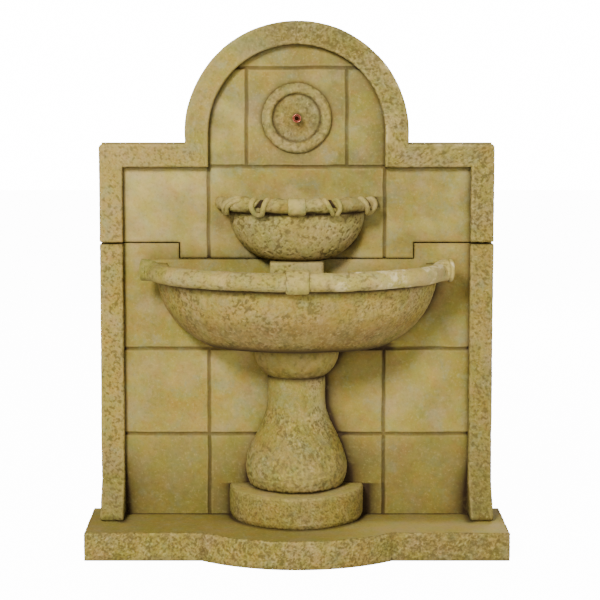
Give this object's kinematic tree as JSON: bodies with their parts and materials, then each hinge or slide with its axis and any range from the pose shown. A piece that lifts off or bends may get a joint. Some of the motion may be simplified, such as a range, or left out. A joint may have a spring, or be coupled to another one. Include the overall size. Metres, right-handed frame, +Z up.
{
  "type": "garden wall fountain",
  "caption": "Cast-stone garden wall fountain: arched tiled back wall, copper spout, small upper bowl over a wide basin on a half-round pedestal and bow-fronted base.",
  "frame": {"origin": "middle of the back edge at floor level: the plane Y = 0 is the back that stands against the garden wall, and Z = 0 is the floor", "axes": "+X to the right seen from the front, -Y out of the front, +Z up"},
  "size_m": [1.25, 0.446, 1.5769],
  "materials": {
    "cast_stone": "weathered, stained",
    "copper": "dull copper",
    "brass": "plain cast brass",
    "stainless_steel": "satin",
    "galvanised_steel": "galvanised",
    "vinyl_hose": "smooth black vinyl",
    "black_plastic": "moulded",
    "grey_plastic": "moulded",
    "rubber": "soft moulded",
    "ceramic": "ground"
  },
  "bodies": {
    "fountain": {"base_slab": "cast_stone", "lower_wall_panel": "cast_stone", "upper_wall_panel": "cast_stone", "spout_rosette": "cast_stone", "upper_bowl": "cast_stone", "bowl_riser": "cast_stone", "lower_basin": "cast_stone", "pedestal_capital": "cast_stone", "pedestal_shaft": "cast_stone", "pedestal_drum": "cast_stone", "spout_tube": "copper", "spout_elbow": "brass", "spout_lock_nut": "brass", "supply_hose": "vinyl_hose", "hose_clamps": "stainless_steel", "hose_clips": "black_plastic", "hose_clip_screws": "stainless_steel", "pump_housing": "black_plastic", "pump_volute_cover": "black_plastic", "pump_rotor_shaft": "ceramic", "pump_shaft_bushes": "rubber", "pump_feet": "rubber", "pump_cord_gland": "rubber", "drain_sleeve": "grey_plastic", "base_dowels": "stainless_steel", "seam_dowels": "stainless_steel", "bowl_fixing_bolts": "stainless_steel", "bowl_seal_washers": "rubber", "bowl_steel_washers": "stainless_steel", "bowl_bolt_nuts": "stainless_steel", "basin_fixing_bolts": "stainless_steel", "basin_seal_washers": "rubber", "basin_steel_washers": "stainless_steel", "basin_bolt_nuts": "stainless_steel", "seam_tie_plates": "galvanised_steel", "tie_plate_screws": "stainless_steel", "wall_hanger_plates": "galvanised_steel", "hanger_plate_screws": "stainless_steel"},
    "rotor": {"pump_rotor": "grey_plastic"},
    "filter": {"pump_filter_cover": "black_plastic"},
    "dial": {"pump_flow_dial": "grey_plastic"},
    "stopper": {"drain_stopper": "rubber"}
  },
  "joints": [
    {"name": "rotor_spin", "type": "hinge", "parent": "fountain", "child": "rotor", "pos_m": [0, -0.117, 0.676], "axis": [1, 0, 0], "continuous": true},
    {"name": "filter_slide", "type": "slide", "parent": "fountain", "child": "filter", "axis": [1, 0, 0], "range_m": [0, 0.026]},
    {"name": "dial_turn", "type": "hinge", "parent": "filter", "child": "dial", "pos_m": [0, -0.117, 0.676], "axis": [1, 0, 0], "range_deg": [0, 90]},
    {"name": "stopper_lift", "type": "slide", "parent": "fountain", "child": "stopper", "axis": [0, 0, 1], "range_m": [0, 0.12]}
  ]
}
